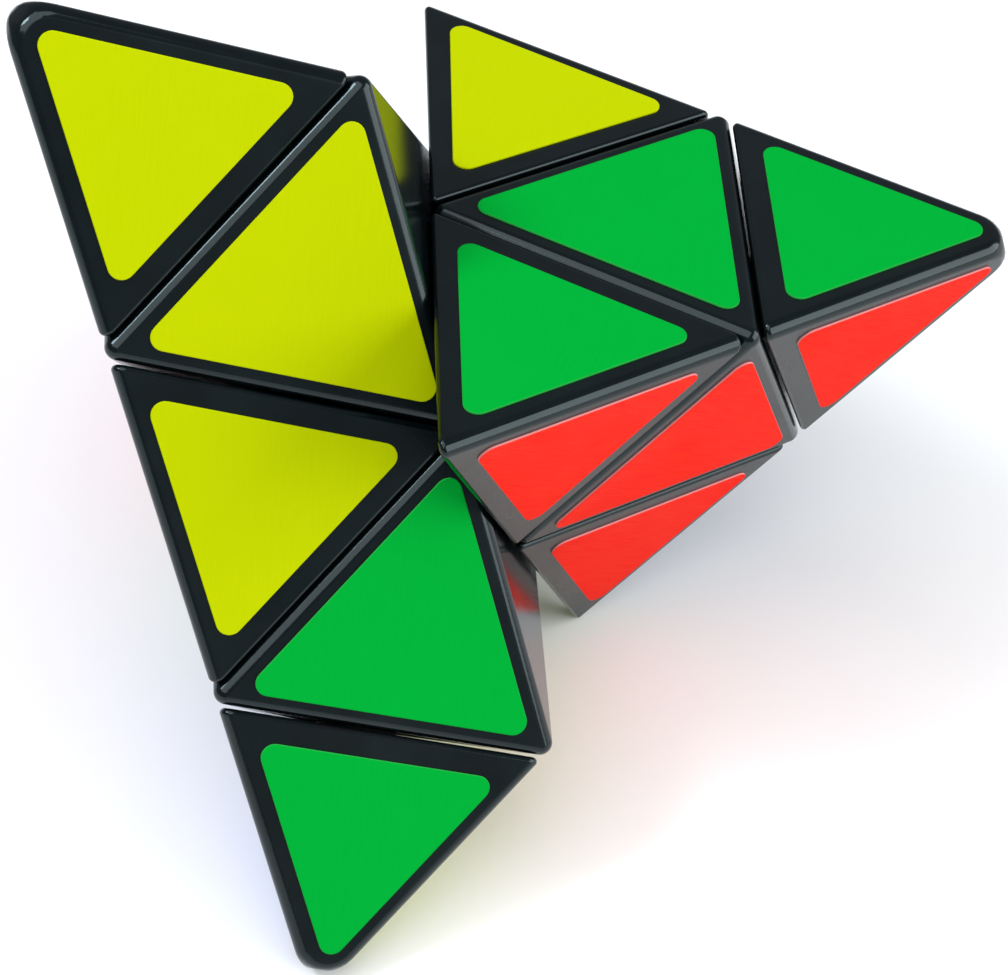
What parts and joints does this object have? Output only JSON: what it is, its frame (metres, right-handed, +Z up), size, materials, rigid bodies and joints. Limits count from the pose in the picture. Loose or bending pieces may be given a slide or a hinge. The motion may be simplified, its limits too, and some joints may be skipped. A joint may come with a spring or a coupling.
{
  "type": "pyramid twisty puzzle",
  "caption": "Pyramid-shaped sequential-movement puzzle with stickered corner, edge and tip pieces that turn about an internal spring-loaded core, resting part-turned.",
  "frame": {"origin": "centre of the bounding box, at the level of the table that the puzzle lies on", "axes": "+Z up from the table, +X along the base edge that the puzzle lies on, from its near tip to its far tip"},
  "size_m": [0.098, 0.0932, 0.0826],
  "materials": {
    "black_plastic": "satin-gloss moulded black plastic",
    "inner_plastic": "matt moulded black plastic",
    "core_plastic": "matt moulded black plastic",
    "screw_steel": "zinc-plated steel",
    "spring_steel": "drawn spring steel",
    "washer_steel": "stamped steel",
    "sticker_yellow": "satin vinyl film",
    "sticker_green": "satin vinyl film",
    "sticker_red": "satin vinyl film",
    "sticker_blue": "satin vinyl film"
  },
  "bodies": {
    "base": {"core": "core_plastic", "screws": "screw_steel", "springs": "spring_steel", "washers": "washer_steel", "axial_shell_upper": "black_plastic", "axial_shell_near": "black_plastic", "axial_shell_far": "black_plastic", "axial_cap_upper": "inner_plastic", "axial_cap_near": "inner_plastic", "axial_cap_far": "inner_plastic", "edge_shell_upper_near": "black_plastic", "edge_shell_far_upper": "black_plastic", "edge_shell_near_far": "black_plastic", "edge_foot_upper_near": "inner_plastic", "edge_foot_far_upper": "inner_plastic", "edge_foot_near_far": "inner_plastic", "stickers_base_yellow": "sticker_yellow", "stickers_base_green": "sticker_green", "stickers_base_red": "sticker_red", "stickers_base_blue": "sticker_blue"},
    "turned_layer": {"axial_shell_turned": "black_plastic", "axial_cap_turned": "inner_plastic", "edge_shell_turned_first": "black_plastic", "edge_shell_turned_second": "black_plastic", "edge_shell_turned_third": "black_plastic", "edge_foot_turned_first": "inner_plastic", "edge_foot_turned_second": "inner_plastic", "edge_foot_turned_third": "inner_plastic", "stickers_turned_yellow": "sticker_yellow", "stickers_turned_green": "sticker_green", "stickers_turned_red": "sticker_red", "stickers_turned_blue": "sticker_blue"},
    "tip_turned": {"tip_shell_turned": "black_plastic", "tip_plug_turned": "inner_plastic", "sticker_tip_turned_green": "sticker_green", "sticker_tip_turned_red": "sticker_red", "sticker_tip_turned_blue": "sticker_blue"},
    "tip_upper": {"tip_shell_upper": "black_plastic", "tip_plug_upper": "inner_plastic", "sticker_tip_upper_yellow": "sticker_yellow", "sticker_tip_upper_red": "sticker_red", "sticker_tip_upper_blue": "sticker_blue"},
    "tip_near": {"tip_shell_near": "black_plastic", "tip_plug_near": "inner_plastic", "sticker_tip_near_yellow": "sticker_yellow", "sticker_tip_near_green": "sticker_green", "sticker_tip_near_blue": "sticker_blue"},
    "tip_far": {"tip_shell_far": "black_plastic", "tip_plug_far": "inner_plastic", "sticker_tip_far_yellow": "sticker_yellow", "sticker_tip_far_green": "sticker_green", "sticker_tip_far_red": "sticker_red"}
  },
  "joints": [
    {"name": "corner_turn", "type": "hinge", "parent": "base", "child": "turned_layer", "pos_m": [0, 0.01023, 0.03416], "axis": [0, -0.9559, 0.2936], "continuous": true},
    {"name": "tip_turn_turned", "type": "hinge", "parent": "turned_layer", "child": "tip_turned", "pos_m": [0, -0.02383, 0.04463], "axis": [0, -0.9559, 0.2936], "continuous": true},
    {"name": "tip_turn_upper", "type": "hinge", "parent": "base", "child": "tip_upper", "pos_m": [0, 0.03145, 0.0628], "axis": [0, 0.5955, 0.8034], "continuous": true},
    {"name": "tip_turn_near", "type": "hinge", "parent": "base", "child": "tip_near", "pos_m": [-0.0291, 0.01665, 0.01462], "axis": [-0.8165, 0.1802, -0.5485], "continuous": true},
    {"name": "tip_turn_far", "type": "hinge", "parent": "base", "child": "tip_far", "pos_m": [0.0291, 0.01665, 0.01462], "axis": [0.8165, 0.1802, -0.5485], "continuous": true}
  ]
}
